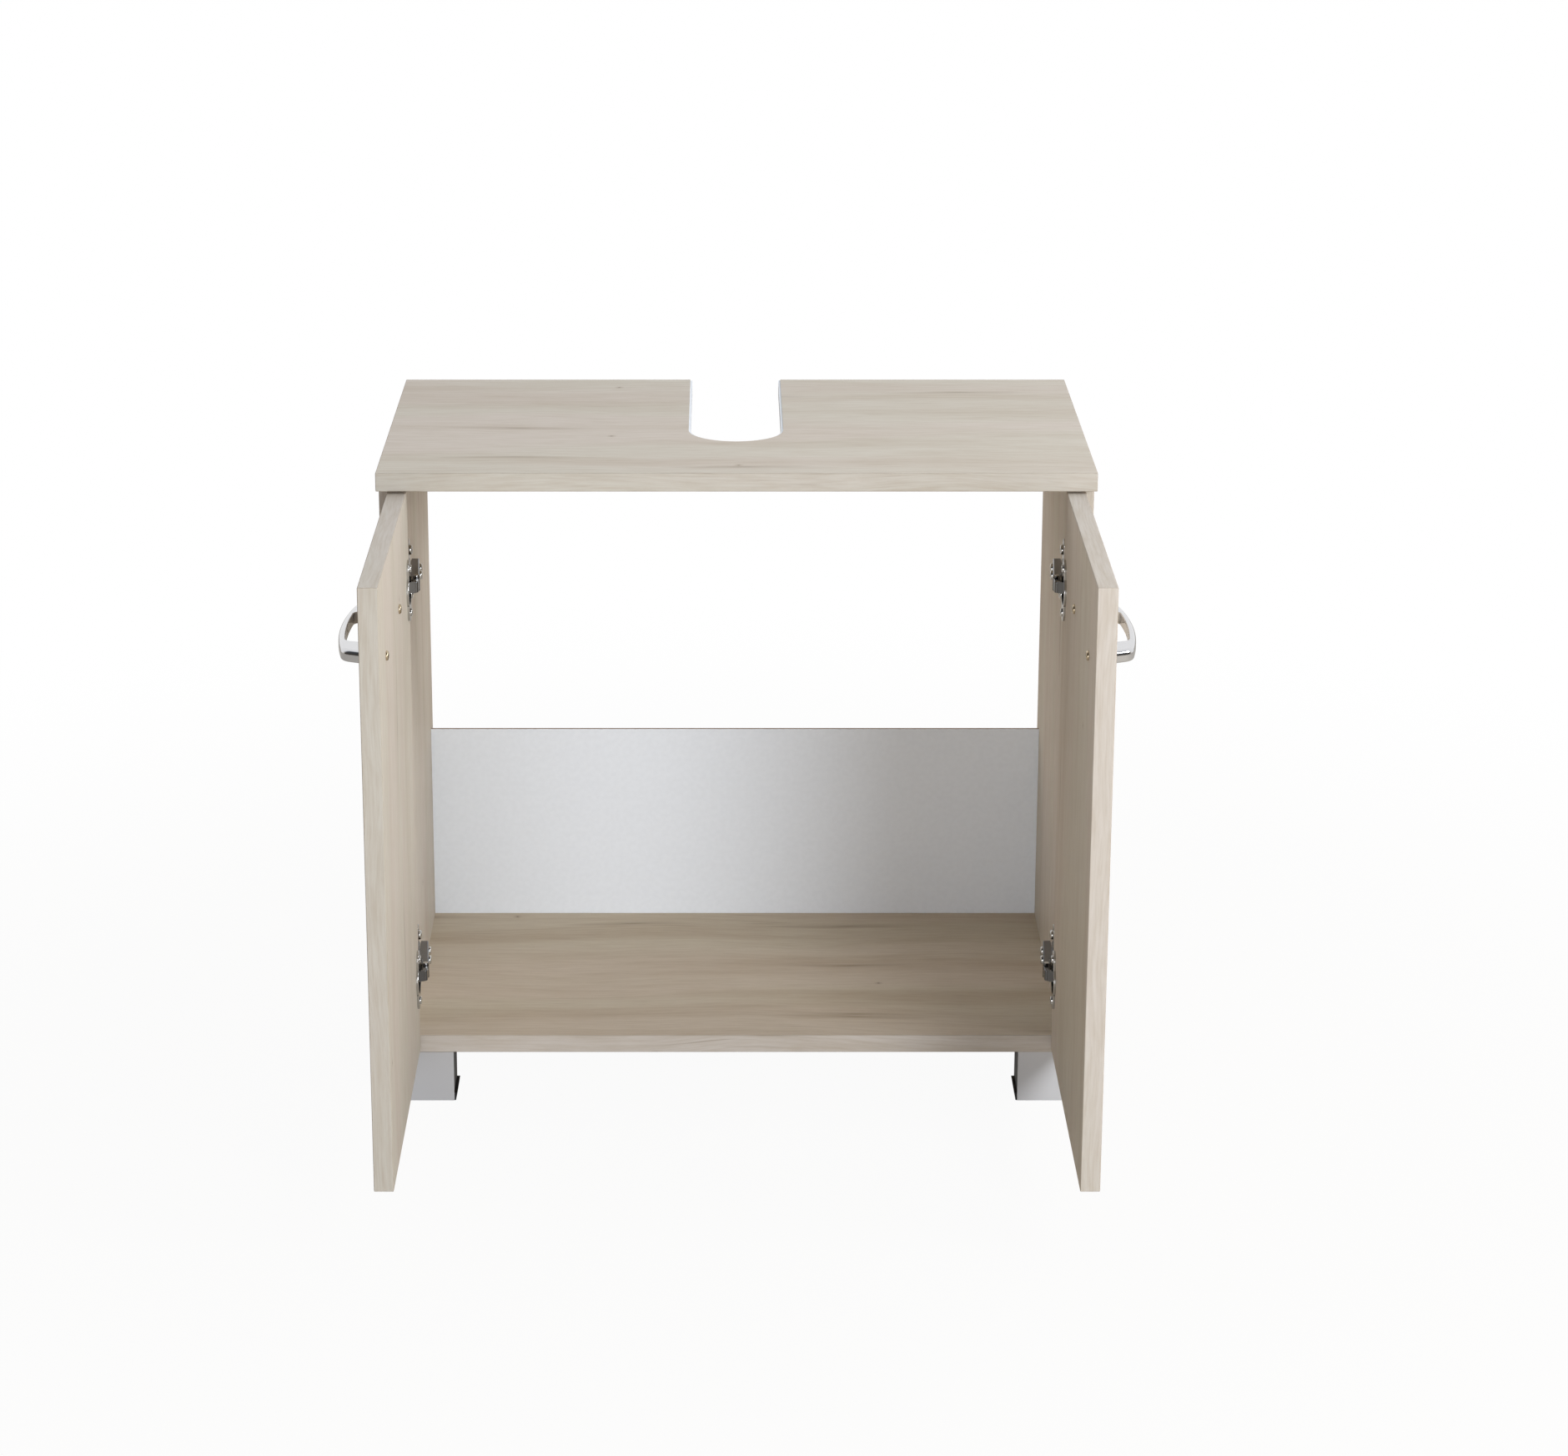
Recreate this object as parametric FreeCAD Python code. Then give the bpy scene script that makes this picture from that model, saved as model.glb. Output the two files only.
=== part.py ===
import FreeCAD, Part
import os

from FreeCAD import Vector

os.makedirs("parts", exist_ok=True)

# Whole cabinet, millimetres, +Z up, -Y towards the front
top_width = 600.0
top_depth = 340.0
total_height = 575.0
board = 16.0
top_overhang = 1.0
edge_round = 0.8
cut_overrun = 2.0

# Cut-out for the drain, open at the back of the top panel
cutout_width = 82.0
cutout_reach = 232.0
edging_thickness = 1.8

# Carcass
foot_height = 48.0
back_thickness = 3.0
back_inset = 20.0
back_rise = 183.0
groove_depth = 6.0
groove_clearance = 0.2
groove_end_gap = 0.5

# Panel joints: dowels, cams and bolts
dowel_radius = 4.0
dowel_in_face = 10.0
dowel_in_edge = 20.0
dowel_from_front = 40.0
dowel_from_back = 62.0
cam_radius = 7.5
cam_height = 12.5
cam_setback = 24.0
cam_drive_radius = 3.0
cam_drive_depth = 2.5
cam_from_front = 150.0
cam_from_back = 95.0
bolt_radius = 3.0
bolt_bore_clearance = 0.4
bolt_in_face = 11.0
bolt_head_radius = 3.4
bolt_neck_radius = 2.0
bolt_neck_length = 3.0
bolt_head_length = 3.0

# Feet
foot_width = 50.0
foot_depth = 40.0
foot_from_outer = 2.0
foot_from_front = 4.0
foot_from_back = 14.0
cover_wall = 2.0
cover_corner = 4.0
cover_ground_gap = 0.6
glide_wall = 3.0
glide_flare = 2.6
glide_toe = 1.2
glide_flare_height = 7.0
foot_screw_radius = 2.0
foot_screw_head_radius = 4.0
foot_screw_head_height = 2.4
foot_screw_length = 12.0
foot_screw_first = 14.0
foot_screw_spacing = 11.0
drive_reach = 2.0
drive_slot = 0.8
drive_depth = 1.1
head_round_share = 0.7

# Doors, modelled open at a right angle
door_gap_middle = 3.0
door_gap_top = 2.0
door_above_underside = 5.0
door_side_reveal = 2.5
door_closed_gap = 2.5
open_face_inset = 8.0
open_edge_gap = 3.0

# Concealed hinges
upper_hinge_drop = 83.0
lower_hinge_rise = 71.0
cup_radius = 13.0
cup_depth = 11.0
cup_wall = 1.0
cup_rim = 1.5
cup_edge_distance = 4.0
flange_length = 53.0
flange_width = 17.0
flange_thickness = 2.0
pressed_round = 0.5
cup_screw_spacing = 38.0
cup_screw_radius = 1.75
cup_screw_head_radius = 3.4
cup_screw_head_height = 1.4
cup_screw_length = 12.0
cup_pin_radius = 1.25
cup_pin_half_length = 10.4
cup_pin_depth = 2.5
pivot_offset = 16.5
link_half_width = 4.9
link_thickness = 2.0
link_arm_eye = 3.0
link_cup_eye = 2.4
link_bend_in = -0.3
link_bend_front = 12.8
link_shoulder = 2.5
link_shoulder_round = 2.0
link_edge_round = 0.8
pin_clearance = 0.05
arm_pin_radius = 1.5
arm_pin_head_radius = 2.2
arm_pin_head = 0.6
arm_inner_half_width = 5.2
arm_sheet = 1.2
arm_bend = 1.0
arm_top = 15.4
arm_fall = 3.2
arm_plate_gap = 0.4
arm_front = 14.0
arm_nose_radius = 3.0
arm_neck = 6.0
arm_back = 56.0
plate_line = 37.0
plate_thickness = 5.4
plate_half_length = 29.0
plate_half_width = 6.0
plate_screw_spacing = 39.0
plate_slot_travel = 2.5
plate_screw_radius = 2.5
plate_screw_head_radius = 4.2
plate_screw_head_height = 2.6
plate_screw_length = 14.0
rib_front = 20.0
arm_screw_radius = 2.5
arm_screw_head_radius = 4.0
arm_screw_head_height = 2.4
arm_screw_depth = 8.0
clamp_screw_line = 48.0
set_screw_line = 27.0

# Bow handles on the doors' outer faces
handle_from_free_edge = 122.0
handle_below_door_top = 72.0
handle_spacing = 128.0
handle_foot_length = 144.0
handle_bow_length = 128.0
handle_projection = 26.0
handle_end_projection = 19.0
handle_height = 10.0
handle_band = 6.0
handle_gap_base = 90.0
handle_gap_top = 78.0
handle_gap_drop = 2.2
handle_round = 1.0
handle_crown_round = 4.0
handle_under_round = 2.0
handle_knee_round = 12.0
handle_gap_round = 6.0
handle_screw_radius = 2.0
handle_screw_head_radius = 4.0
handle_screw_head_height = 2.2
handle_screw_in_handle = 9.0

# Derived places of the carcass
half_outer = top_width / 2 - top_overhang
half_inner = half_outer - board
underside = foot_height
floor_top = underside + board
top_under = total_height - board
side_setback = board + door_closed_gap
door_width = half_outer - door_side_reveal - door_gap_middle / 2
door_height = top_under - door_gap_top - underside - door_above_underside
door_bottom = underside + door_above_underside
door_top = door_bottom + door_height
door_reach = door_width + open_edge_gap - side_setback

# The frame's origin lies on the floor in the middle of the open cabinet
front_edge = (door_reach - top_depth) / 2
back_edge = front_edge + top_depth
side_front = front_edge + side_setback
back_front = back_edge - back_inset - back_thickness
back_top = floor_top + back_rise
bolt_reach = cam_setback + bolt_head_length

# Derived places of an open left door
door_face = -half_inner + open_face_inset
door_outer = door_face - board
door_edge = side_front - open_edge_gap
door_free = door_edge - door_width
hinge_heights = (door_top - upper_hinge_drop, door_bottom + lower_hinge_rise)

# The pole is the point about which a plain turn would carry the closed door to the open one
closed_side = -(board - door_side_reveal)
pole_out = ((open_face_inset - closed_side) - (door_closed_gap - open_edge_gap)) / 2
pole_along = pole_out + door_closed_gap - open_edge_gap
pole_in = closed_side + pole_along
pole_front = door_closed_gap + pole_out

# Hinge pivots: the arm's axis lies on the pole's diagonal, the cup's axis is level with the pole
arm_axis_x = -half_inner + pole_in + pivot_offset
arm_axis_y = side_front - (pole_front - pivot_offset)
cup_axis_x = door_face - cup_pin_depth
cup_axis_y = door_edge - pole_along
cup_centre_y = door_edge - cup_edge_distance - cup_radius


def box(x0, x1, y0, y1, z0, z1):
    return Part.makeBox(x1 - x0, y1 - y0, z1 - z0, Vector(x0, y0, z0))


def rod(radius, start, end):
    reach = end.sub(start)
    return Part.makeCylinder(radius, reach.Length, start, reach)


def upright(radius, x, y, z0, z1):
    return rod(radius, Vector(x, y, z0), Vector(x, y, z1))


def prism(outline, z0, z1):
    points = [Vector(x, y, z0) for x, y in outline]
    face = Part.Face(Part.makePolygon(points + points[:1]))
    return face.extrude(Vector(0, 0, z1 - z0))


def fuse(shapes):
    return shapes[0].multiFuse(list(shapes[1:])).removeSplitter()


def cut(shape, tools):
    return shape.cut(Part.makeCompound(list(tools)))


def soften(shape, radius):
    return shape.makeFillet(radius, shape.Edges)


def stadium(x0, x1, half_width, half_length, y, z):
    """An upright plate with round ends, from x0 to x1."""
    ends = half_length - half_width
    tips = [rod(half_width, Vector(x0, y, z + way * ends), Vector(x1, y, z + way * ends)) for way in (-1, 1)]
    return fuse([box(x0, x1, y - half_width, y + half_width, z - ends, z + ends)] + tips)


def pressed(plate, face_x):
    """The plate with the outline of its face at face_x rounded, as a press leaves it."""
    rim = [edge for edge in plate.Edges if edge.BoundBox.XLength < pressed_round
           and abs(edge.CenterOfMass.x - face_x) < pressed_round]
    return plate.makeFillet(pressed_round, rim)


def mirrored(shape):
    return shape.mirror(Vector(0, 0, 0), Vector(1, 0, 0))


def both(shapes):
    return list(shapes) + [mirrored(shape) for shape in shapes]


def save(name, shapes):
    shapes = list(shapes)
    shape = shapes[0] if len(shapes) == 1 else Part.makeCompound(shapes)
    shape.exportStep("parts/" + name + ".step")


def cross_recess(place, into):
    arms = fuse([box(-drive_reach, drive_reach, -drive_slot / 2, drive_slot / 2, -cut_overrun, drive_depth),
                 box(-drive_slot / 2, drive_slot / 2, -drive_reach, drive_reach, -cut_overrun, drive_depth)])
    arms.Placement = FreeCAD.Placement(place, FreeCAD.Rotation(Vector(0, 0, 1), into))
    return arms


def screw(radius, length, head_radius, head_height, seat, into):
    """A domed screw with a cross recess: seat is under the head, into is the direction of its shank."""
    head_end = seat - into * head_height
    head = rod(head_radius, seat, head_end)
    rim = [edge for edge in head.Edges if edge.CenterOfMass.sub(head_end).Length < head_height / 4]
    head = head.makeFillet(head_height * head_round_share, rim)
    return cut(fuse([rod(radius, seat, seat + into * length), head]), [cross_recess(head_end, into)])


# Directions and places of the joints between the panels
up = Vector(0, 0, 1)
left = Vector(-1, 0, 0)
dowel_rows = (side_front + dowel_from_front, back_edge - dowel_from_back)
cam_rows = (side_front + cam_from_front, back_edge - cam_from_back)


def joint_starts(along, rows):
    """Points where one panel's edge meets the left side's top end or inner face."""
    if along == up:
        return [Vector(-half_inner - board / 2, y, top_under) for y in rows]
    return [Vector(-half_inner, y, underside + board / 2) for y in rows]


def dowels(along):
    return [rod(dowel_radius, start + along * dowel_in_face, start - along * dowel_in_edge)
            for start in joint_starts(along, dowel_rows)]


def bolt(start, along):
    """A cam bolt: threaded into one panel, its necked head reaching into the cam of the other."""
    neck = start - along * (cam_setback - bolt_neck_length)
    head = neck - along * bolt_neck_length
    return fuse([
        rod(bolt_radius, start + along * bolt_in_face, neck),
        rod(bolt_neck_radius, neck, head),
        rod(bolt_head_radius, head, head - along * bolt_head_length),
    ])


def bolt_channel(start, along):
    return rod(bolt_head_radius + bolt_bore_clearance, start, start - along * bolt_reach)


def cam_seat(start, along):
    """Centre of the cam's outer face, and the direction in which the cam is sunk."""
    centre = start - along * cam_setback
    if along == up:
        return Vector(-half_inner, centre.y, centre.z), left
    return Vector(centre.x, centre.y, underside), up


def cam_bore(start, along):
    seat, into = cam_seat(start, along)
    return rod(cam_radius, seat, seat + into * cam_height)


def cam(start, along):
    seat, into = cam_seat(start, along)
    socket = rod(cam_drive_radius, seat, seat + into * cam_drive_depth)
    return cut(cam_bore(start, along), [socket, bolt_channel(start, along)])


def edge_bores(along):
    """Bores in the panel whose edge is joined: dowels, bolts and cams."""
    starts = joint_starts(along, cam_rows)
    return (dowels(along) + [bolt_channel(start, along) for start in starts]
            + [cam_bore(start, along) for start in starts])


def face_bores(along):
    """Bores in the panel whose face is joined: dowels and bolt threads."""
    starts = joint_starts(along, cam_rows)
    return dowels(along) + [rod(bolt_radius, start, start + along * bolt_in_face) for start in starts]


# Top panel with its lined cut-out
def cutout(inset, z0, z1):
    radius = cutout_width / 2 - inset
    centre_y = back_edge - cutout_reach + cutout_width / 2
    throat = box(-radius, radius, centre_y, back_edge + cut_overrun, z0, z1)
    return throat.fuse(upright(radius, 0, centre_y, z0, z1))


half_top = top_width / 2
top_blank = soften(box(-half_top, half_top, front_edge, back_edge, top_under, total_height), edge_round)
save("top_panel", [cut(top_blank, [cutout(0, top_under - cut_overrun, total_height + cut_overrun)]
                       + both(face_bores(up)))])
edging_blank = cutout(0, top_under + edge_round, total_height - edge_round)
edging_blank = edging_blank.common(box(-cutout_width, cutout_width, front_edge, back_edge - edge_round,
                                       top_under, total_height))
save("cutout_edging", [edging_blank.cut(cutout(edging_thickness, underside, total_height + cut_overrun))])


# Feet: a glide with a sunk screw plate, and an angled cover on its two outer faces
foot_left = -half_outer + foot_from_outer
foot_inner = foot_left + foot_width
foot_front = side_front + foot_from_front
foot_back = back_edge - foot_from_back
foot_screw_x = [foot_inner - foot_screw_first - foot_screw_spacing * step for step in range(2)]
foot_screw_y = foot_front + foot_depth / 2


def front_left_cover():
    blank = box(foot_left, foot_inner, foot_front, foot_front + foot_depth, cover_ground_gap, underside)
    corner = [edge for edge in blank.Edges if edge.Length > foot_height - cover_ground_gap - edge_round
              and abs(edge.CenterOfMass.x - foot_left) < edge_round
              and abs(edge.CenterOfMass.y - foot_front) < edge_round]
    blank = blank.makeFillet(cover_corner, corner)
    return blank.cut(box(foot_left + cover_wall, foot_inner + cut_overrun, foot_front + cover_wall,
                         foot_front + foot_depth + cut_overrun, 0, underside + cut_overrun))


def front_left_glide():
    x0 = foot_left + cover_wall
    y0 = foot_front + cover_wall
    y1 = foot_front + foot_depth
    block = box(x0, foot_inner, y0, y1, 0, underside)
    flare = [Vector(foot_inner - glide_wall, y0, 0), Vector(foot_inner + glide_toe, y0, 0),
             Vector(foot_inner + glide_flare, y0, glide_flare_height),
             Vector(foot_inner - glide_wall, y0, glide_flare_height)]
    wedge = Part.Face(Part.makePolygon(flare + flare[:1])).extrude(Vector(0, y1 - y0, 0))
    hollow = box(x0 + glide_wall, foot_inner - glide_wall, y0 + glide_wall, y1 - glide_wall,
                 -cut_overrun, underside - glide_wall)
    holes = [upright(foot_screw_radius, x, foot_screw_y, 0, underside + cut_overrun) for x in foot_screw_x]
    return cut(fuse([block, wedge]), [hollow] + holes)


def front_left_foot_screws():
    return [screw(foot_screw_radius, foot_screw_length, foot_screw_head_radius, foot_screw_head_height,
                  Vector(x, foot_screw_y, underside - glide_wall), up) for x in foot_screw_x]


def to_back(shape):
    return shape.mirror(Vector(0, (foot_front + foot_back) / 2, 0), Vector(0, 1, 0))


for name, make in (("foot_cover", front_left_cover), ("foot_glide", front_left_glide)):
    piece = make()
    save("front_left_" + name, [piece])
    save("front_right_" + name, [mirrored(piece)])
    save("rear_left_" + name, [to_back(piece)])
    save("rear_right_" + name, [mirrored(to_back(piece))])

foot_screws = front_left_foot_screws()
foot_screws = both(foot_screws + [to_back(one) for one in foot_screws])
save("foot_screws", foot_screws)


# Hinge plate, arm and their screws on the left side panel, given in p from its face and q to its front
def inside(p, q):
    return -half_inner + p, side_front - q


def arm_face(line):
    """Height of the arm's web over the side panel, which falls from its front to its back."""
    return arm_top - arm_fall * (line - arm_front) / (arm_back - arm_front)


def sloped(bottom, drop, front, z0, z1):
    """A prism under the arm's web, from the arm's back to a front line."""
    return prism([inside(bottom, -arm_back), inside(arm_face(arm_back) - drop, -arm_back),
                  inside(arm_face(front) - drop, -front), inside(bottom, -front)], z0, z1)


def plate_screws(z):
    x, y = inside(plate_thickness, -plate_line)
    seats = [Vector(x, y, z + way * plate_screw_spacing / 2) for way in (-1, 1)]
    return [screw(plate_screw_radius, plate_screw_length, plate_screw_head_radius, plate_screw_head_height,
                  seat, left) for seat in seats]


def arm_screws(z):
    square = Vector(arm_front - arm_back, -arm_fall, 0).normalize()
    seats = [Vector(*inside(arm_face(line), -line), z) for line in (clamp_screw_line, set_screw_line)]
    return [screw(arm_screw_radius, arm_screw_depth, arm_screw_head_radius, arm_screw_head_height,
                  seat, square) for seat in seats]


def hinge_plate(z):
    x0, y = inside(0, -plate_line)
    x1 = x0 + plate_thickness
    wing = pressed(stadium(x0, x1, plate_half_width, plate_half_length, y, z), x1)
    slots = [stadium(x0, x1, plate_screw_radius, plate_screw_radius + plate_slot_travel, y,
                     z + way * plate_screw_spacing / 2) for way in (-1, 1)]
    half = arm_inner_half_width - pin_clearance
    rib = sloped(0, arm_sheet, rib_front, z - half, z + half)
    return cut(fuse([cut(wing, slots), rib]), plate_screws(z) + arm_screws(z))


def cheek(z0, z1):
    """One side of the arm's channel: a straight part, a neck and a round nose at the pivot."""
    back = sloped(plate_thickness + arm_plate_gap, 0, arm_front, z0, z1)
    axis = Vector(arm_axis_x, arm_axis_y, z0)
    root = Vector(*inside((arm_top + arm_neck) / 2, -arm_front), z0)
    along = axis.sub(root).normalize()
    wide = Vector(along.y, -along.x, 0) * arm_nose_radius
    nose = [axis.add(wide), axis.sub(wide)]
    neck = prism([inside(arm_neck, -arm_front), inside(arm_top, -arm_front)]
                 + [(one.x, one.y) for one in sorted(nose, key=lambda one: -one.x)], z0, z1)
    return fuse([back, neck, upright(arm_nose_radius, arm_axis_x, arm_axis_y, z0, z1)])


def hinge_arm(z):
    outer = arm_inner_half_width + arm_sheet
    block, hollow = [sloped(0, drop, arm_front, z - outer, z + outer) for drop in (0, arm_sheet)]
    cheeks = [cheek(z + arm_inner_half_width, z + outer), cheek(z - outer, z - arm_inner_half_width)]
    channel = fuse([block.cut(hollow)] + cheeks)
    face_x = inside(arm_top - arm_fall / 2, 0)[0]
    bends = [edge for edge in channel.Edges if edge.BoundBox.YLength > arm_back - arm_front - arm_bend
             and abs(edge.CenterOfMass.x - face_x) < arm_bend
             and abs(abs(edge.CenterOfMass.z - z) - outer) < arm_bend]
    return cut(channel.makeFillet(arm_bend, bends), arm_screws(z) + [arm_pin(z)])


def arm_pin(z):
    outer = arm_inner_half_width + arm_sheet
    head_end = outer + arm_pin_head
    heads = [upright(arm_pin_head_radius, arm_axis_x, arm_axis_y, z + way * outer, z + way * head_end)
             for way in (-1, 1)]
    return fuse([upright(arm_pin_radius, arm_axis_x, arm_axis_y, z - outer, z + outer)] + heads)


def bar(start, end, z0, z1):
    along = end.sub(start).normalize()
    wide = Vector(-along.y, along.x, 0) * (link_thickness / 2)
    corners = [start.add(wide), end.add(wide), end.sub(wide), start.sub(wide)]
    return prism([(one.x, one.y) for one in corners], z0, z1)


def link_block(bend, z0, z1):
    """The link's shoulder between its bend and the arm's pin, with rounded outer edges."""
    outer = arm_axis_x + link_shoulder
    front = bend.y - link_thickness / 2
    block = box(bend.x, outer, front, arm_axis_y, z0, z1)
    corner = [edge for edge in block.Edges if edge.BoundBox.ZLength > link_half_width
              and abs(edge.CenterOfMass.x - outer) + abs(edge.CenterOfMass.y - front) < link_edge_round]
    block = block.makeFillet(link_shoulder_round, corner)
    rims = [edge for edge in block.Edges if edge.BoundBox.ZLength < link_edge_round
            and edge.BoundBox.XMax > outer - link_edge_round
            and edge.BoundBox.YMin < arm_axis_y - link_edge_round]
    return block.makeFillet(link_edge_round, rims)


def hinge_link(z):
    """A bent strap with eyes on the arm's pin and the cup's pin, filled outwards to a square shoulder."""
    z0 = z - link_half_width
    z1 = z + link_half_width
    at_arm = Vector(arm_axis_x, arm_axis_y, 0)
    bend = Vector(arm_axis_x + link_bend_in, arm_axis_y - link_bend_front, 0)
    at_cup = Vector(cup_axis_x, cup_axis_y, 0)
    strap = [bar(at_arm, bend, z0, z1), bar(bend, at_cup, z0, z1),
             upright(link_thickness / 2, bend.x, bend.y, z0, z1), link_block(bend, z0, z1)]
    ends = ((at_arm, link_arm_eye, arm_pin_radius), (at_cup, link_cup_eye, cup_pin_radius))
    eyes = [upright(eye, place.x, place.y, z0, z1) for place, eye, pin in ends]
    holes = [upright(pin + pin_clearance, place.x, place.y, z0 - cut_overrun, z1 + cut_overrun)
             for place, eye, pin in ends]
    return cut(fuse(strap + eyes), holes)


# Hinge cup and its screws in the open left door
def into_door(radius, depth0, depth1, y, z):
    return rod(radius, Vector(door_face - depth0, y, z), Vector(door_face - depth1, y, z))


def cup_pin(z):
    return upright(cup_pin_radius, cup_axis_x, cup_axis_y, z - cup_pin_half_length, z + cup_pin_half_length)


def cup_screws(z):
    face_x = door_face + flange_thickness
    seats = [Vector(face_x, cup_centre_y, z + way * cup_screw_spacing / 2) for way in (-1, 1)]
    return [screw(cup_screw_radius, cup_screw_length, cup_screw_head_radius, cup_screw_head_height,
                  seat, left) for seat in seats]


def hinge_cup(z):
    shell = into_door(cup_radius, 0, cup_depth, cup_centre_y, z)
    rim = into_door(cup_radius + cup_rim, -flange_thickness, 0, cup_centre_y, z)
    face_x = door_face + flange_thickness
    flange = stadium(door_face, face_x, flange_width / 2, flange_length / 2, cup_centre_y, z)
    bowl = into_door(cup_radius - cup_wall, -flange_thickness - cut_overrun, cup_depth - cup_wall,
                     cup_centre_y, z)
    return cut(fuse([shell, pressed(fuse([rim, flange]), face_x)]), [bowl, cup_pin(z)] + cup_screws(z))


# Handle on the open left door: a bow with solid ends, its plan given along the door and out from its face
handle_y = door_free + handle_from_free_edge
handle_z = door_top - handle_below_door_top
handle_screw_ys = [handle_y + way * handle_spacing / 2 for way in (-1, 1)]


def handle_point(along, out):
    return Vector(door_outer - out, handle_y + along, handle_z - handle_height / 2)


def handle_screws():
    seats = [Vector(door_face, y, handle_z) for y in handle_screw_ys]
    return [screw(handle_screw_radius, board + handle_screw_in_handle, handle_screw_head_radius,
                  handle_screw_head_height, seat, left) for seat in seats]


def upright_edges(body, along, out):
    """The handle's two upright edges at a distance along the door and out from its face."""
    corners = [handle_point(way * along, out) for way in (-1, 1)]
    return [edge for edge in body.Edges if edge.BoundBox.ZLength > handle_height / 2
            and any(abs(edge.CenterOfMass.x - one.x) + abs(edge.CenterOfMass.y - one.y) < handle_round
                    for one in corners)]


def handle_rim(body, level, outer):
    """The edges of the top or under face that run round the bow, or those that run round its finger gap."""
    gap_reach = handle_gap_base / 2 + handle_round
    gap_out = handle_projection - handle_band + handle_round
    level_edges = [edge for edge in body.Edges if edge.BoundBox.ZLength < handle_round
                   and abs(edge.CenterOfMass.z - level) < handle_round
                   and edge.BoundBox.XMin < door_outer - handle_round]
    return [edge for edge in level_edges
            if outer != (abs(edge.CenterOfMass.y - handle_y) < gap_reach
                         and door_outer - edge.CenterOfMass.x < gap_out)]


def handle():
    gap_out = handle_projection - handle_band
    vault_end = gap_out - handle_gap_drop
    foot, bow = handle_foot_length / 2, handle_bow_length / 2
    gap_base, gap_top = handle_gap_base / 2, handle_gap_top / 2
    crown = Part.Arc(handle_point(-bow, handle_end_projection), handle_point(0, handle_projection),
                     handle_point(bow, handle_end_projection)).toShape()
    vault = Part.Arc(handle_point(gap_top, vault_end), handle_point(0, gap_out),
                     handle_point(-gap_top, vault_end)).toShape()
    right_end, left_end = [[handle_point(way * bow, handle_end_projection), handle_point(way * foot, 0),
                            handle_point(way * gap_base, 0), handle_point(way * gap_top, vault_end)]
                           for way in (1, -1)]
    outline = Part.Wire([crown] + Part.makePolygon(right_end).Edges + [vault]
                        + Part.makePolygon(left_end[::-1]).Edges)
    body = Part.Face(outline).extrude(Vector(0, 0, handle_height))
    body = body.makeFillet(handle_knee_round, upright_edges(body, bow, handle_end_projection))
    body = body.makeFillet(handle_gap_round, upright_edges(body, gap_top, vault_end))
    for level, radius in ((handle_z + handle_height / 2, handle_crown_round),
                          (handle_z - handle_height / 2, handle_under_round)):
        body = body.makeFillet(radius, handle_rim(body, level, True))
        body = body.makeFillet(handle_round, handle_rim(body, level, False))
    return cut(body, handle_screws())


# Side, bottom and back panels
back_left = -half_inner - groove_depth + groove_end_gap
back_foot = floor_top - groove_depth + groove_end_gap
groove_y0 = back_front - groove_clearance
groove_y1 = back_front + back_thickness + groove_clearance
side_groove = box(-half_inner - groove_depth, -half_inner + cut_overrun, groove_y0, groove_y1,
                  floor_top - groove_depth, back_top + groove_end_gap)
floor_groove = box(-half_inner - cut_overrun, half_inner + cut_overrun, groove_y0, groove_y1,
                   floor_top - groove_depth, floor_top + cut_overrun)
side_screws = [one for z in hinge_heights for one in plate_screws(z)]
side_blank = soften(box(-half_outer, -half_inner, side_front, back_edge, underside, top_under), edge_round)
left_side = cut(side_blank, edge_bores(up) + face_bores(left) + side_screws + [side_groove])
save("left_side_panel", [left_side])
save("right_side_panel", [mirrored(left_side)])
bottom_blank = box(-half_inner, half_inner, side_front, back_edge, underside, floor_top)
front_edges = [edge for edge in bottom_blank.Edges if edge.BoundBox.XLength > half_inner
               and edge.CenterOfMass.y < side_front + edge_round]
bottom_blank = bottom_blank.makeFillet(edge_round, front_edges)
save("bottom_panel", [cut(bottom_blank, both(edge_bores(left)) + foot_screws + [floor_groove])])
save("back_panel", [box(back_left, -back_left, back_front, back_front + back_thickness, back_foot, back_top)])

joints = [(start, along) for along in (up, left) for start in joint_starts(along, cam_rows)]
save("dowels", both(dowels(up) + dowels(left)))
save("cam_housings", both([cam(start, along) for start, along in joints]))
save("cam_bolts", both([bolt(start, along) for start, along in joints]))

# Hinges on both sides
for level, z in zip(("upper", "lower"), hinge_heights):
    for piece, make in (("hinge_plate", hinge_plate), ("hinge_arm", hinge_arm),
                        ("hinge_link", hinge_link), ("hinge_cup", hinge_cup)):
        shape = make(z)
        save("left_" + level + "_" + piece, [shape])
        save("right_" + level + "_" + piece, [mirrored(shape)])

save("plate_screws", both(side_screws))
save("arm_screws", both([one for z in hinge_heights for one in arm_screws(z)]))
save("arm_pins", both([arm_pin(z) for z in hinge_heights]))

# Doors with their handles, screws and cup pins
door_blank = soften(box(door_outer, door_face, door_free, door_edge, door_bottom, door_top), edge_round)
cup_bores = [into_door(cup_radius, -cut_overrun, cup_depth, cup_centre_y, z) for z in hinge_heights]
door_cup_screws = [one for z in hinge_heights for one in cup_screws(z)]
door_pieces = {
    "door": [cut(door_blank, cup_bores + door_cup_screws + handle_screws())],
    "handle": [handle()],
    "handle_screws": handle_screws(),
    "cup_screws": door_cup_screws,
    "cup_pins": [cup_pin(z) for z in hinge_heights],
}
for name, shapes in door_pieces.items():
    save("left_" + name, shapes)
    save("right_" + name, [mirrored(shape) for shape in shapes])
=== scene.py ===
import math

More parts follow.
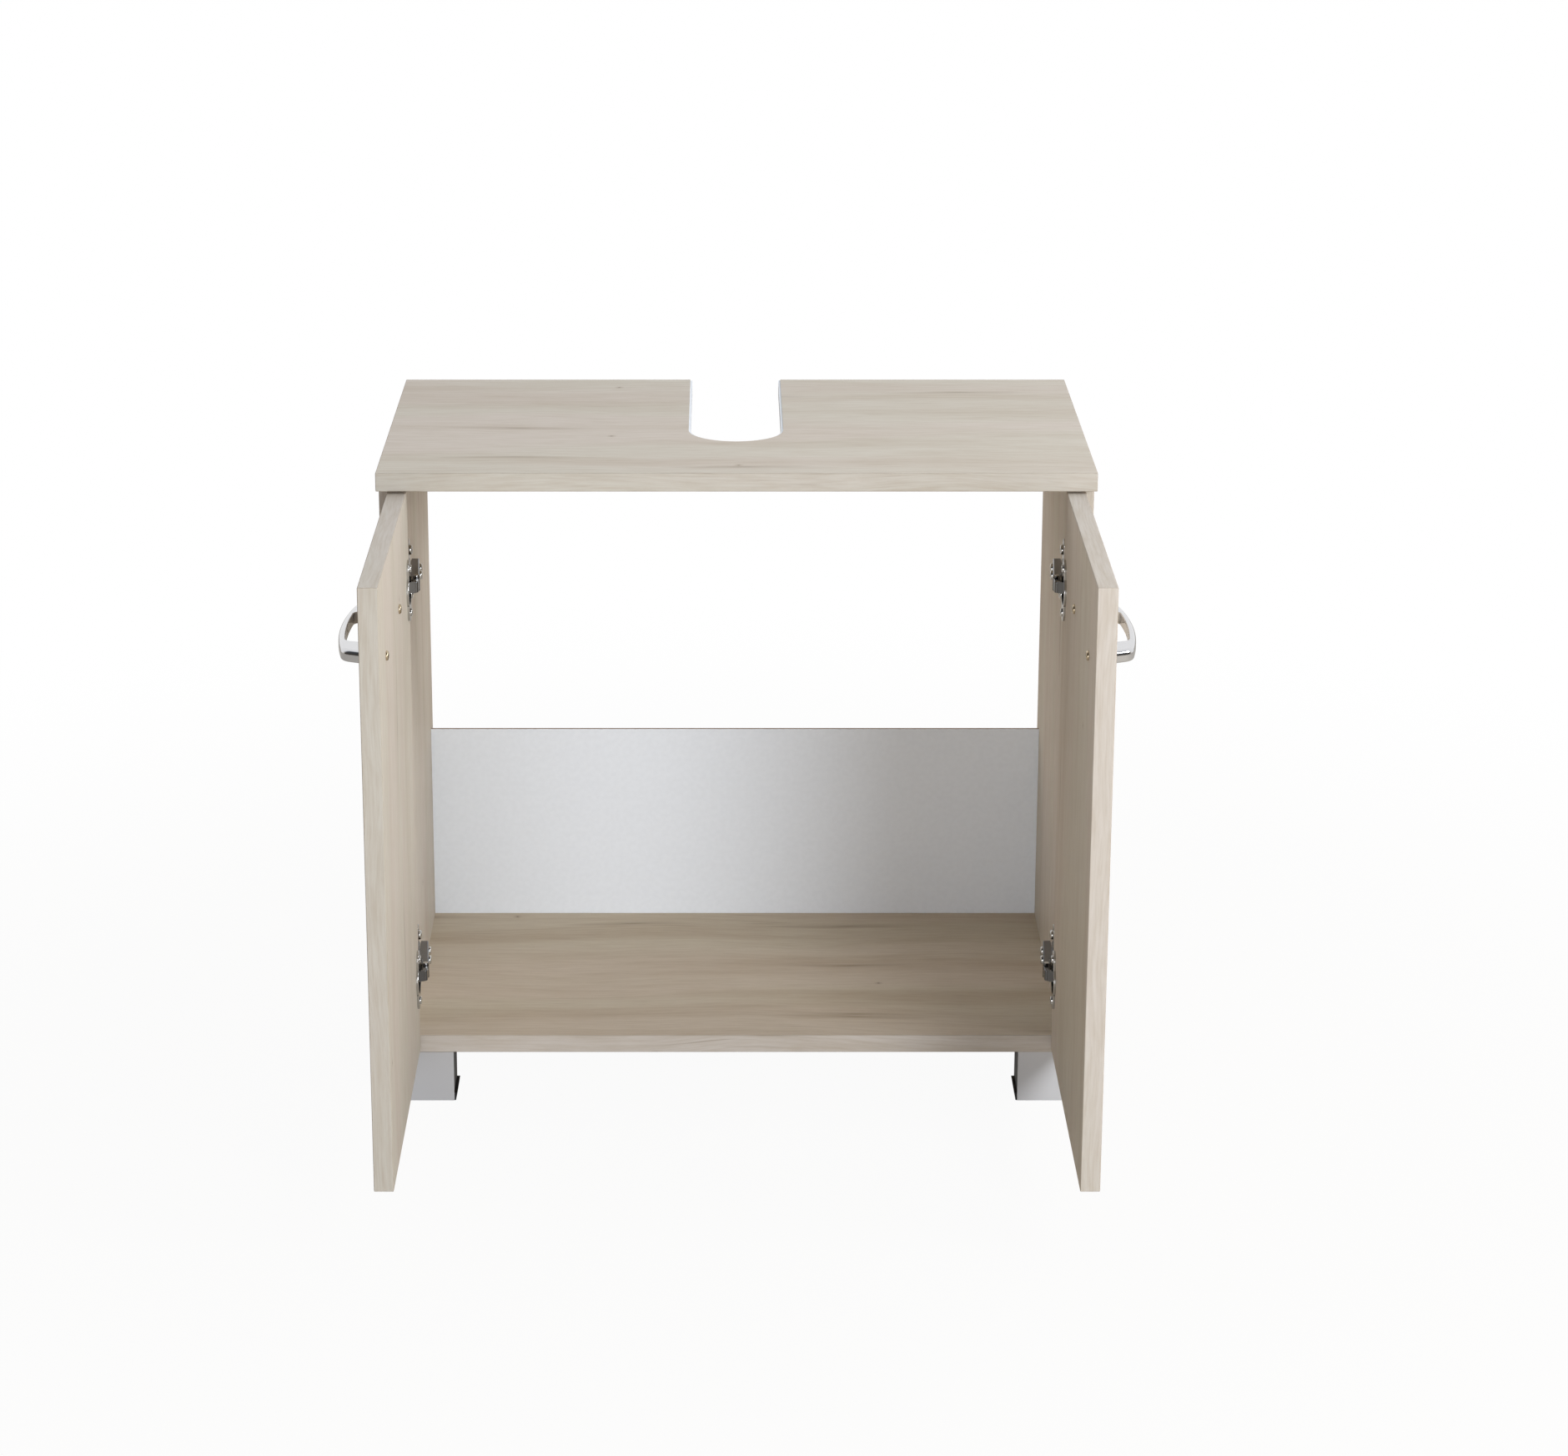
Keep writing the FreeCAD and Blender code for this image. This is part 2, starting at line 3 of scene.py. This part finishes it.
import bpy
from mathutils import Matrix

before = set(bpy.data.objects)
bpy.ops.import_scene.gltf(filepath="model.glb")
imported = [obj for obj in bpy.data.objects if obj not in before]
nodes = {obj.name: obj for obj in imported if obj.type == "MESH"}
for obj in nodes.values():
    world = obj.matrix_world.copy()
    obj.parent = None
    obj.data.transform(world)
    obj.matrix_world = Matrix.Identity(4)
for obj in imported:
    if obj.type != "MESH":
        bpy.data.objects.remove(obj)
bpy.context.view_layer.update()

# Side panels and floor panel. Chipboard with a pale greige wood decor pressed on its faces, and an edging
# strip with finer lines glued on its front and ends. The rear edges face the wall and are left raw.
RIGHT_ANGLE = math.radians(90)
ALONG_X = (0.0, 0.0, 0.0)
ALONG_Y = (0.0, 0.0, -RIGHT_ANGLE)
ALONG_Z = (0.0, RIGHT_ANGLE, 0.0)
AXIS_X = (1.0, 0.0, 0.0)
AXIS_Y = (0.0, 1.0, 0.0)
AXIS_Z = (0.0, 0.0, 1.0)


def srgb(red, green, blue):
    """Linear colour for screen values from 0 to 255."""
    def linear(value):
        value /= 255
        return value / 12.92 if value <= 0.04045 else ((value + 0.055) / 1.055) ** 2.4
    return (linear(red), linear(green), linear(blue), 1.0)


def toned(colour, share):
    """A colour at a share of its brightness; a share over 1 lightens it."""
    return tuple(channel * share for channel in colour[:3]) + (1.0,)


def plug(tree, socket, value):
    """Links a socket to another node, or sets it to a plain value."""
    if isinstance(value, bpy.types.NodeSocket):
        tree.links.new(value, socket)
    else:
        socket.default_value = value


def make(tree, kind, inputs=None, **settings):
    """Adds a node, with its settings and with its inputs by name or number."""
    node = tree.nodes.new(kind)
    for key, value in settings.items():
        setattr(node, key, value)
    for name, value in (inputs or {}).items():
        plug(tree, node.inputs[name], value)
    return node


def new_material(name):
    material = bpy.data.materials.new(name)
    material.use_nodes = True
    tree = material.node_tree
    return material, tree, tree.nodes["Principled BSDF"]


def new_group(name, inputs, outputs):
    group = bpy.data.node_groups.new(name, "ShaderNodeTree")
    for in_out, sockets in (("INPUT", inputs), ("OUTPUT", outputs)):
        for socket, kind in sockets.items():
            group.interface.new_socket(socket, in_out=in_out, socket_type="NodeSocket" + kind)
    return group, group.nodes.new("NodeGroupInput"), group.nodes.new("NodeGroupOutput")


def calculate(tree, operation, first, second=0.0):
    return make(tree, "ShaderNodeMath", {0: first, 1: second}, operation=operation).outputs[0]


def plus(tree, first, second):
    return calculate(tree, "ADD", first, second)


def times(tree, first, *factors):
    for factor in factors:
        first = calculate(tree, "MULTIPLY", first, factor)
    return first


def opposite(tree, value):
    """1 where a mask is 0, and 0 where it is 1."""
    return calculate(tree, "SUBTRACT", 1.0, value)


def rising(tree, value, start, rise):
    """Goes from start, where the value is 0, up by rise, where it is 1."""
    return plus(tree, times(tree, value, rise), start)


def multiplied(tree, vector, factors):
    return make(tree, "ShaderNodeVectorMath", {0: vector, 1: factors}, operation="MULTIPLY").outputs[0]


def mix_colour(tree, factor, first, second):
    return make(tree, "ShaderNodeMix", {0: factor, 6: first, 7: second}, data_type="RGBA").outputs[2]


def mix_vector(tree, factor, first, second):
    return make(tree, "ShaderNodeMix", {0: factor, 4: first, 5: second}, data_type="VECTOR").outputs[1]


def ramp(tree, value, low, high):
    """Maps low..high to 0..1 with soft ends."""
    return make(tree, "ShaderNodeMapRange", {"Value": value, "From Min": low, "From Max": high},
                interpolation_type="SMOOTHSTEP").outputs["Result"]


def noise(tree, vector, per_metre, detail, roughness):
    """Noise with a number of features per metre along each axis of the vector."""
    inputs = {"Vector": multiplied(tree, vector, per_metre), "Scale": 1.0, "Detail": detail,
              "Roughness": roughness}
    return make(tree, "ShaderNodeTexNoise", inputs, noise_dimensions="3D").outputs["Fac"]


def bump(tree, shader, height, strength, distance):
    node = make(tree, "ShaderNodeBump", {"Strength": strength, "Distance": distance, "Height": height})
    tree.links.new(node.outputs["Normal"], shader.inputs["Normal"])


def object_place(tree):
    return make(tree, "ShaderNodeTexCoord").outputs["Object"]


def facing(tree, axis):
    """How squarely a face looks along an axis of the piece, from -1 to 1."""
    normal = make(tree, "ShaderNodeTexCoord").outputs["Normal"]
    return make(tree, "ShaderNodeVectorMath", {0: normal, 1: axis}, operation="DOT_PRODUCT").outputs["Value"]


SQUARE_ON = 0.95


def faces_along(tree, axis):
    """1 on faces square to an axis of the piece, 0 on the others and on rounded edges."""
    return calculate(tree, "GREATER_THAN", calculate(tree, "ABSOLUTE", facing(tree, axis)), SQUARE_ON)


def dress(material, *names):
    for name in names:
        data = nodes[name].data
        data.materials.clear()
        data.materials.append(material)


def scattered_cells(tree, place, scale, dimensions):
    """The distance from the middle of scattered cells, and a random value for each cell."""
    cells = make(tree, "ShaderNodeTexVoronoi", {"Vector": place, "Scale": scale},
                 voronoi_dimensions=dimensions).outputs
    pick = make(tree, "ShaderNodeSeparateColor", {0: cells["Color"]}).outputs[0]
    return cells["Distance"], pick


def spots(tree, place, per_metre, picked_share, radius, halo_radius):
    """Masks of a few scattered flecks and of the softer patch round each, in stretched cells."""
    away, pick = scattered_cells(tree, multiplied(tree, place, per_metre), scale=1.0, dimensions="2D")
    picked = calculate(tree, "LESS_THAN", pick, picked_share)
    return [times(tree, picked, opposite(tree, ramp(tree, away, low=0.0, high=reach)))
            for reach in (radius, halo_radius)]


DECOR_ROSE = srgb(215, 205, 194)
DECOR_REED = srgb(213, 206, 193)
DECOR_DEEP = srgb(185, 169, 149)
DECOR_STREAK = srgb(156, 137, 116)
DECOR_CORE = srgb(104, 88, 72)
DECOR_ROUGHNESS = 0.48
DECOR_ROUGHNESS_RISE = 0.1
SWAY = 0.035
BAND_MEAN = 0.3
BAND_WEIGHT = 0.5
FEATHER_WEIGHT = 0.32
LINE_WEIGHT = 0.2
STREAK_WEIGHT = 0.6
PATCH_WEIGHT = 0.45
LONG_FLECKS = {"per_metre": (5.0, 66.0, 0.0), "picked_share": 0.06, "radius": 0.1, "halo_radius": 0.45}
ROUND_FLECKS = {"per_metre": (9.0, 9.0, 0.0), "picked_share": 0.08, "radius": 0.016, "halo_radius": 0.05}
LONG_FLECK_WEIGHT = 0.4
ROUND_FLECK_WEIGHT = 0.7


def decor_group():
    """Wood decor. The vector's first axis runs with the grain. Lines sets how strongly fine lines show,
    Figure the bands and streaks, and Tint is a colour multiplied in: the edging's own cast, or painted warm
    shade on some boards. Flecks show where Lines is low."""
    group, entry, end = new_group(
        "wood_decor", {"Vector": "Vector", "Lines": "Float", "Figure": "Float", "Tint": "Color"},
        {"Color": "Color", "Height": "Float", "Roughness": "Float"})
    figure = entry.outputs["Figure"]
    parts = make(group, "ShaderNodeSeparateXYZ", {0: entry.outputs["Vector"]}).outputs
    side = plus(group, parts[1], parts[2])
    straight = make(group, "ShaderNodeCombineXYZ", {0: parts[0], 1: side}).outputs[0]
    sway = noise(group, straight, per_metre=(4.0, 6.0, 0.0), detail=1.0, roughness=0.5)
    side = plus(group, side, times(group, sway, SWAY))
    place = make(group, "ShaderNodeCombineXYZ", {0: parts[0], 1: side}).outputs[0]

    hue = noise(group, place, per_metre=(1.5, 12.0, 0.0), detail=1.0, roughness=0.5)
    ground = mix_colour(group, ramp(group, hue, low=0.4, high=0.6), DECOR_ROSE, DECOR_REED)
    bands = noise(group, place, per_metre=(2.4, 26.0, 0.0), detail=2.0, roughness=0.5)
    swing = calculate(group, "SUBTRACT", ramp(group, bands, low=0.42, high=0.72), BAND_MEAN)
    bands = plus(group, times(group, swing, figure), BAND_MEAN)
    feathers = noise(group, place, per_metre=(22.0, 260.0, 0.0), detail=4.0, roughness=0.7)
    feathers = ramp(group, feathers, low=0.34, high=0.72)
    lines = noise(group, place, per_metre=(24.0, 560.0, 0.0), detail=2.0, roughness=0.55)
    drawn = times(group, ramp(group, lines, low=0.35, high=0.7), entry.outputs["Lines"])
    tone = plus(group, times(group, bands, BAND_WEIGHT), times(group, feathers, FEATHER_WEIGHT))
    tone = plus(group, tone, times(group, drawn, LINE_WEIGHT))
    colour = mix_colour(group, tone, ground, DECOR_DEEP)

    sparse = noise(group, straight, per_metre=(3.0, 17.0, 0.0), detail=1.0, roughness=0.5)
    streaks = noise(group, place, per_metre=(11.0, 560.0, 0.0), detail=2.0, roughness=0.5)
    sparse = ramp(group, sparse, low=0.5, high=0.68)
    streaks = ramp(group, streaks, low=0.58, high=0.74)
    colour = mix_colour(group, times(group, streaks, sparse, figure, STREAK_WEIGHT), colour, DECOR_STREAK)
    on_face = opposite(group, entry.outputs["Lines"])
    for flecks, weight in ((LONG_FLECKS, LONG_FLECK_WEIGHT), (ROUND_FLECKS, ROUND_FLECK_WEIGHT)):
        core, around = spots(group, place, **flecks)
        colour = mix_colour(group, times(group, around, PATCH_WEIGHT, on_face), colour, DECOR_STREAK)
        colour = mix_colour(group, times(group, core, weight, on_face), colour, DECOR_CORE)

    group.links.new(multiplied(group, colour, entry.outputs["Tint"]), end.inputs["Color"])
    group.links.new(lines, end.inputs["Height"])
    rough = rising(group, lines, DECOR_ROUGHNESS, DECOR_ROUGHNESS_RISE)
    group.links.new(rough, end.inputs["Roughness"])
    return group


DECOR = decor_group()
CHIP_PALE = srgb(202, 181, 149)
CHIP_DARK = srgb(152, 124, 91)
CHIPS_PER_METRE = 420.0


def raw_chipboard(tree, place):
    """Flakes of pressed wood, as on an edge that gets no strip."""
    pick = scattered_cells(tree, place, scale=CHIPS_PER_METRE, dimensions="3D")[1]
    return mix_colour(tree, pick, CHIP_PALE, CHIP_DARK)


EVEN_CAST = (1.0, 1.0, 1.0, 1.0)
STRIP_CAST = (0.955, 0.98, 1.01, 1.0)
LINES_LOST_ON_FACES = 0.88
SEAM_WEIGHT = 0.35
LAMINATE_SPECULAR = 0.1


def laminate(name, grain, face_axis, end_axis, shift, figure, raw_rear, tint=EVEN_CAST):
    """Board finish: decor turned along the grain, and along the strip on the board's ends. The shift
    gives each board its own stretch of the decor."""
    material, tree, shader = new_material(name)
    place = object_place(tree)
    along, across = [
        make(tree, "ShaderNodeMapping", {"Vector": place, "Rotation": turn, "Location": shift}).outputs[0]
        for turn in (grain, ALONG_Y)]
    is_face = faces_along(tree, face_axis)
    is_end = faces_along(tree, end_axis)
    decor = make(tree, "ShaderNodeGroup", node_tree=DECOR)
    plug(tree, decor.inputs["Vector"], mix_vector(tree, is_end, along, across))
    plug(tree, decor.inputs["Lines"], opposite(tree, times(tree, is_face, LINES_LOST_ON_FACES)))
    plug(tree, decor.inputs["Figure"], figure)
    # Edges take the strip's own cast and faces take the board's tint; on the floor panel and the right door
    # that tint is painted warm shade.
    plug(tree, decor.inputs["Tint"], mix_colour(tree, is_face, STRIP_CAST, tint))
    flat = plus(tree, is_face, plus(tree, is_end, faces_along(tree, AXIS_Y)))
    seam = opposite(tree, calculate(tree, "MINIMUM", flat, 1.0))
    colour = mix_colour(tree, times(tree, seam, SEAM_WEIGHT), decor.outputs["Color"], DECOR_STREAK)
    if raw_rear:
        is_rear = calculate(tree, "GREATER_THAN", facing(tree, AXIS_Y), SQUARE_ON)
        colour = mix_colour(tree, is_rear, colour, raw_chipboard(tree, place))
    tree.links.new(colour, shader.inputs["Base Color"])
    tree.links.new(decor.outputs["Roughness"], shader.inputs["Roughness"])
    shader.inputs["Specular IOR Level"].default_value = LAMINATE_SPECULAR
    bump(tree, shader, decor.outputs["Height"], strength=0.05, distance=0.0002)
    return material


LEVEL_BOARD = {"grain": ALONG_X, "face_axis": AXIS_Z, "end_axis": AXIS_X}
UPRIGHT_BOARD = {"grain": ALONG_Z, "face_axis": AXIS_X, "end_axis": AXIS_Z}
# The floor panel's decor is made warmer: painted warm shade, in place of light bounced off the wood onto the
# shaded floor.
FLOOR_PAINTED_WARM_SHADE = (1.0, 0.955, 0.87, 1.0)
FLOOR_FIGURE = 1.0
SIDE_FIGURE = 0.6
SIDE_SHIFTS = {"left": (1.3, 2.1, 0.4), "right": (5.2, 1.4, 0.9)}
dress(laminate("decor_floor", **LEVEL_BOARD, shift=(3.1, 0.7, 0.2), figure=FLOOR_FIGURE, raw_rear=True,
               tint=FLOOR_PAINTED_WARM_SHADE), "bottom_panel")
for hand, side_shift in SIDE_SHIFTS.items():
    dress(laminate("decor_" + hand + "_side", **UPRIGHT_BOARD, shift=side_shift, figure=SIDE_FIGURE,
                   raw_rear=True), hand + "_side_panel")


# Panel joints. Beech dowels that line up the boards, and zinc-plated cams that are turned to draw in the
# heads of zinc-plated bolts. All of them are sunk in the boards.
BEECH_PALE = srgb(214, 176, 128)
BEECH_DEEP = srgb(176, 132, 86)
BEECH_ROUGHNESS = 0.6


def beech(name):
    material, tree, shader = new_material(name)
    fibres = noise(tree, object_place(tree), per_metre=(500.0, 500.0, 60.0), detail=3.0, roughness=0.6)
    tree.links.new(mix_colour(tree, fibres, BEECH_PALE, BEECH_DEEP), shader.inputs["Base Color"])
    shader.inputs["Roughness"].default_value = BEECH_ROUGHNESS
    bump(tree, shader, fibres, strength=0.15, distance=0.0003)
    return material


def metal(name, colour, dark_share, per_metre, roughness, roughness_rise):
    """Plated or polished metal: a tone with fine marks, and gloss that varies with them."""
    material, tree, shader = new_material(name)
    marks = noise(tree, object_place(tree), per_metre, detail=3.0, roughness=0.6)
    tone = mix_colour(tree, marks, colour, toned(colour, dark_share))
    tree.links.new(tone, shader.inputs["Base Color"])
    tree.links.new(rising(tree, marks, roughness, roughness_rise), shader.inputs["Roughness"])
    shader.inputs["Metallic"].default_value = 1.0
    bump(tree, shader, marks, strength=0.03, distance=0.0001)
    return material


ZINC = metal("zinc_plate", srgb(205, 203, 198), dark_share=0.82, per_metre=(300.0, 300.0, 300.0),
             roughness=0.18, roughness_rise=0.14)
dress(beech("beech_dowel"), "dowels")
dress(ZINC, "cam_housings", "cam_bolts")


# Back board. Thin hardboard slid into grooves of the sides and the floor panel. It is lacquered white
# towards the front, and its bare brown fibre faces the wall.
LACQUER = srgb(242, 247, 253)
LACQUER_SHADE = srgb(239, 244, 250)
LACQUER_ROUGHNESS = 0.36
LACQUER_ROUGHNESS_RISE = 0.12
FIBRE_PALE = srgb(150, 119, 90)
FIBRE_DARK = srgb(106, 80, 57)
LOOKS_FORWARD = -0.5


def white_lacquer(name, rear_fibre):
    """White lacquer with a faint orange peel, and with bare fibre on all but the front where asked."""
    material, tree, shader = new_material(name)
    place = object_place(tree)
    orange_peel = noise(tree, place, per_metre=(220.0, 220.0, 220.0), detail=2.0, roughness=0.5)
    colour = mix_colour(tree, ramp(tree, orange_peel, low=0.3, high=0.7), LACQUER, LACQUER_SHADE)
    if rear_fibre:
        is_front = calculate(tree, "LESS_THAN", facing(tree, AXIS_Y), LOOKS_FORWARD)
        fibres = noise(tree, place, per_metre=(700.0, 700.0, 700.0), detail=4.0, roughness=0.7)
        colour = mix_colour(tree, is_front, mix_colour(tree, fibres, FIBRE_PALE, FIBRE_DARK), colour)
    tree.links.new(colour, shader.inputs["Base Color"])
    rough = rising(tree, orange_peel, LACQUER_ROUGHNESS, LACQUER_ROUGHNESS_RISE)
    tree.links.new(rough, shader.inputs["Roughness"])
    bump(tree, shader, orange_peel, strength=0.02, distance=0.0002)
    return material


dress(white_lacquer("back_board_lacquer", rear_fibre=True), "back_panel")


# Top panel. Chipboard in the same decor with its grain from side to side, laid on the side panels. A white
# strip is glued round the cut-out for the drain.
TOP_FIGURE = 0.6
dress(laminate("decor_top", **LEVEL_BOARD, shift=(0.0, 0.0, 0.0), figure=TOP_FIGURE, raw_rear=True),
      "top_panel")
dress(white_lacquer("cutout_strip", rear_fibre=False), "cutout_edging")


# Feet. Covers in satin silver paint, clipped over black moulded glides. Each foot is screwed up into the
# floor panel.
HANDS = ("left", "right")
CORNERS = [end + "_" + hand for end in ("front", "rear") for hand in HANDS]
PLASTIC_ROUGHNESS_RISE = 0.15
PAINT_METALLIC = 0.2


def moulded_plastic(name, colour, pale_share, roughness, metallic=0.0):
    """Plastic with a fine pebbled skin."""
    material, tree, shader = new_material(name)
    pebble = noise(tree, object_place(tree), per_metre=(900.0, 900.0, 900.0), detail=3.0, roughness=0.6)
    tone = mix_colour(tree, pebble, colour, toned(colour, pale_share))
    tree.links.new(tone, shader.inputs["Base Color"])
    tree.links.new(rising(tree, pebble, roughness, PLASTIC_ROUGHNESS_RISE), shader.inputs["Roughness"])
    shader.inputs["Metallic"].default_value = metallic
    bump(tree, shader, pebble, strength=0.06, distance=0.0002)
    return material


SILVER_PAINT = moulded_plastic("silver_paint", srgb(204, 204, 206), pale_share=1.04, roughness=0.36,
                               metallic=PAINT_METALLIC)
BLACK_GLIDE = moulded_plastic("black_glide", srgb(20, 20, 21), pale_share=1.5, roughness=0.38)
dress(SILVER_PAINT, *[corner + "_foot_cover" for corner in CORNERS])
dress(BLACK_GLIDE, *[corner + "_foot_glide" for corner in CORNERS])
dress(ZINC, "foot_screws")


# Hinges. Plates and cups pressed from steel in bright nickel. The arms and bent links are nickel made darker
# # in colour: painted dark reflection. The links turn on polished pins, and polished screws hold the plates
# # to the sides and the arms to the plates.
HINGES = [hand + "_" + level for hand in HANDS for level in ("upper", "lower")]
ROLLED = (200.0, 700.0, 200.0)
NICKEL = metal("nickel_plate", srgb(200, 199, 197), dark_share=0.88, per_metre=ROLLED,
               roughness=0.12, roughness_rise=0.1)
# Darker nickel for the arms and links: painted dark reflection of the shaded cabinet inside.
NICKEL_PAINTED_DARK_REFLECTION = metal("nickel_painted_dark_reflection", srgb(120, 120, 121), dark_share=0.8, per_metre=ROLLED,
                    roughness=0.1, roughness_rise=0.1)
POLISHED = metal("polished_pin", srgb(214, 213, 210), dark_share=0.9, per_metre=(500.0, 500.0, 60.0),
                 roughness=0.06, roughness_rise=0.08)
dress(NICKEL, *[hinge + "_hinge_" + piece for hinge in HINGES for piece in ("plate", "cup")])
dress(NICKEL_PAINTED_DARK_REFLECTION, *[hinge + "_hinge_" + piece for hinge in HINGES for piece in ("arm", "link")])
dress(POLISHED, "arm_pins", "plate_screws", "arm_screws")


# Doors. Chipboard in the same decor with its grain upright and strips on all four edges. Each door hangs
# on two hinge cups, which are let into it and held by two screws each.
DOOR_FIGURE = 0.4
# The right door's decor is made a little warmer: painted warm shade, in place of light bounced onto its
# shaded inner face.
RIGHT_DOOR_PAINTED_WARM_SHADE = (0.995, 0.982, 0.96, 1.0)
dress(laminate("decor_left_door", **UPRIGHT_BOARD, shift=(2.4, 4.6, 0.3), figure=DOOR_FIGURE,
               raw_rear=False), "left_door")
dress(laminate("decor_right_door", **UPRIGHT_BOARD, shift=(6.7, 0.2, 2.8), figure=DOOR_FIGURE,
               raw_rear=False, tint=RIGHT_DOOR_PAINTED_WARM_SHADE), "right_door")
dress(POLISHED, *[hand + "_" + piece for hand in HANDS for piece in ("cup_screws", "cup_pins")])


# Handles. Cast bows with chrome plating. Each is pulled to its door by two screws from the inner face;
# # the screws' yellowish colour is a painted warm reflection of the wood round them.
CHROME = metal("handle_chrome", srgb(216, 216, 218), dark_share=0.95, per_metre=(60.0, 60.0, 60.0),
               roughness=0.1, roughness_rise=0.06)
# Yellowish screw metal: painted warm reflection of the wood decor on the nickel heads.
SCREW_PAINTED_WARM_REFLECTION = metal("handle_screw_painted_warm_reflection", srgb(206, 190, 162), dark_share=0.8,
                     per_metre=(300.0, 300.0, 300.0), roughness=0.16, roughness_rise=0.12)
dress(CHROME, *[hand + "_handle" for hand in HANDS])
dress(SCREW_PAINTED_WARM_REFLECTION, *[hand + "_handle_screws" for hand in HANDS])


# Studio. A pale floor and a bright backdrop that read as white, a key light from the front right, a high
# side light and a low front fill. The room before the backdrop is dim, so metal shows bright and dark.
WHITE = (1.0, 1.0, 1.0, 1.0)
FLOOR_COLOUR = srgb(178, 169, 155)
FLOOR_ROUGHNESS = 0.8
FLOOR_HALF = 6.0
FLOOR_NEAR = 0.5
FLOOR_FAR = 1.6
FLOOR_SEEN_NEAR = 0.95
FLOOR_MIRRORED = 0.2


def seen_straight_or_mirrored(tree):
    """1 for rays from the camera, and 1 for rays that a gloss or a clear piece sends on."""
    rays = make(tree, "ShaderNodeLightPath").outputs
    mirrored = calculate(tree, "MAXIMUM", rays["Is Glossy Ray"], rays["Is Transmission Ray"])
    return rays["Is Camera Ray"], mirrored


def white_floor():
    """A floor that shows as white but for a part of its shadow, and as plain white further off."""
    corners = [(x * FLOOR_HALF, y * FLOOR_HALF, 0.0) for x, y in ((-1, -1), (1, -1), (1, 1), (-1, 1))]
    mesh = bpy.data.meshes.new("floor")
    mesh.from_pydata(corners, [], [(0, 1, 2, 3)])
    floor = bpy.data.objects.new("floor", mesh)
    bpy.context.collection.objects.link(floor)
    material, tree, shader = new_material("pale_floor")
    shader.inputs["Base Color"].default_value = FLOOR_COLOUR
    shader.inputs["Roughness"].default_value = FLOOR_ROUGHNESS
    glow = make(tree, "ShaderNodeEmission", {"Color": WHITE, "Strength": 1.0})
    away = make(tree, "ShaderNodeVectorMath", {0: object_place(tree)}, operation="LENGTH").outputs["Value"]
    far = ramp(tree, away, FLOOR_NEAR, FLOOR_FAR)
    straight, mirrored = seen_straight_or_mirrored(tree)
    straight = times(tree, straight, rising(tree, far, FLOOR_SEEN_NEAR, 1.0 - FLOOR_SEEN_NEAR))
    share = calculate(tree, "MAXIMUM", straight, times(tree, mirrored, FLOOR_MIRRORED))
    blend = make(tree, "ShaderNodeMixShader", {0: share, 1: shader.outputs[0], 2: glow.outputs[0]})
    tree.links.new(blend.outputs[0], tree.nodes["Material Output"].inputs["Surface"])
    mesh.materials.append(material)


SKY_LOW = (1.06, 0.91, 0.7, 1.0)
SKY_HIGH = (1.27, 1.32, 1.4, 1.0)
SKY_FRONT_SHARE = 0.05


def backdrop_sky():
    """Light from behind the object, warmer below than above, with little from the camera's side."""
    world = bpy.data.worlds.new("studio")
    bpy.context.scene.world = world
    world.use_nodes = True
    tree = world.node_tree
    direction = make(tree, "ShaderNodeTexCoord").outputs["Generated"]
    parts = make(tree, "ShaderNodeSeparateXYZ", {0: direction}).outputs
    level = ramp(tree, parts[1], low=-0.2, high=0.5)
    light = mix_colour(tree, ramp(tree, parts[2], low=0.05, high=0.6), SKY_LOW, SKY_HIGH)
    share = rising(tree, level, SKY_FRONT_SHARE, 1.0 - SKY_FRONT_SHARE)
    light = make(tree, "ShaderNodeVectorMath", {0: light, "Scale": share}, operation="SCALE").outputs[0]
    straight, mirrored = seen_straight_or_mirrored(tree)
    seen = calculate(tree, "MAXIMUM", straight, times(tree, mirrored, level))
    tree.links.new(mix_colour(tree, seen, light, WHITE), tree.nodes["Background"].inputs["Color"])


def soft_light(name, place, aim, size, watts, tint):
    """A round lamp that looks from its place to its aim."""
    lamp = bpy.data.lights.new(name, "AREA")
    lamp.shape = "DISK"
    lamp.size = size
    lamp.energy = watts
    lamp.color = tint
    holder = bpy.data.objects.new(name, lamp)
    bpy.context.collection.objects.link(holder)
    holder.location = place
    reach = [there - here for there, here in zip(aim, place)]
    level_reach = math.hypot(reach[0], reach[1])
    tilt = math.atan2(level_reach, -reach[2])
    holder.rotation_euler = (tilt, 0.0, math.atan2(reach[1], reach[0]) - RIGHT_ANGLE)


white_floor()
backdrop_sky()
soft_light("key", place=(1.05, -2.31, 1.15), aim=(0.0, 0.0, 0.3), size=0.8, watts=36.0,
           tint=(0.97, 1.0, 1.04))
soft_light("side", place=(2.2, -0.7, 2.1), aim=(0.0, -0.15, 0.3), size=1.1, watts=36.0,
           tint=(0.97, 1.0, 1.03))
soft_light("front", place=(-0.45, -3.0, 0.5), aim=(0.0, 0.0, 0.3), size=1.0, watts=18.0,
           tint=(0.98, 1.0, 1.06))

# Camera. It stands about where the photograph was taken from, pitched down, with a long lens and the small
# shift that the framing needs.
CAMERA_PLACE = (-0.0115, -3.205, 1.398)
CAMERA_PITCH = math.radians(17.32)
CAMERA_SENSOR = 36.0
CAMERA_LENS = 90.66
CAMERA_SHIFT = (0.0391, -0.04)
camera_data = bpy.data.cameras.new("camera")
camera_data.sensor_width = CAMERA_SENSOR
camera_data.lens = CAMERA_LENS
camera_data.shift_x, camera_data.shift_y = CAMERA_SHIFT
camera = bpy.data.objects.new("camera", camera_data)
bpy.context.collection.objects.link(camera)
camera.location = CAMERA_PLACE
camera.rotation_euler = (RIGHT_ANGLE - CAMERA_PITCH, 0.0, 0.0)
bpy.context.scene.camera = camera
bpy.context.scene.view_settings.view_transform = "Standard"
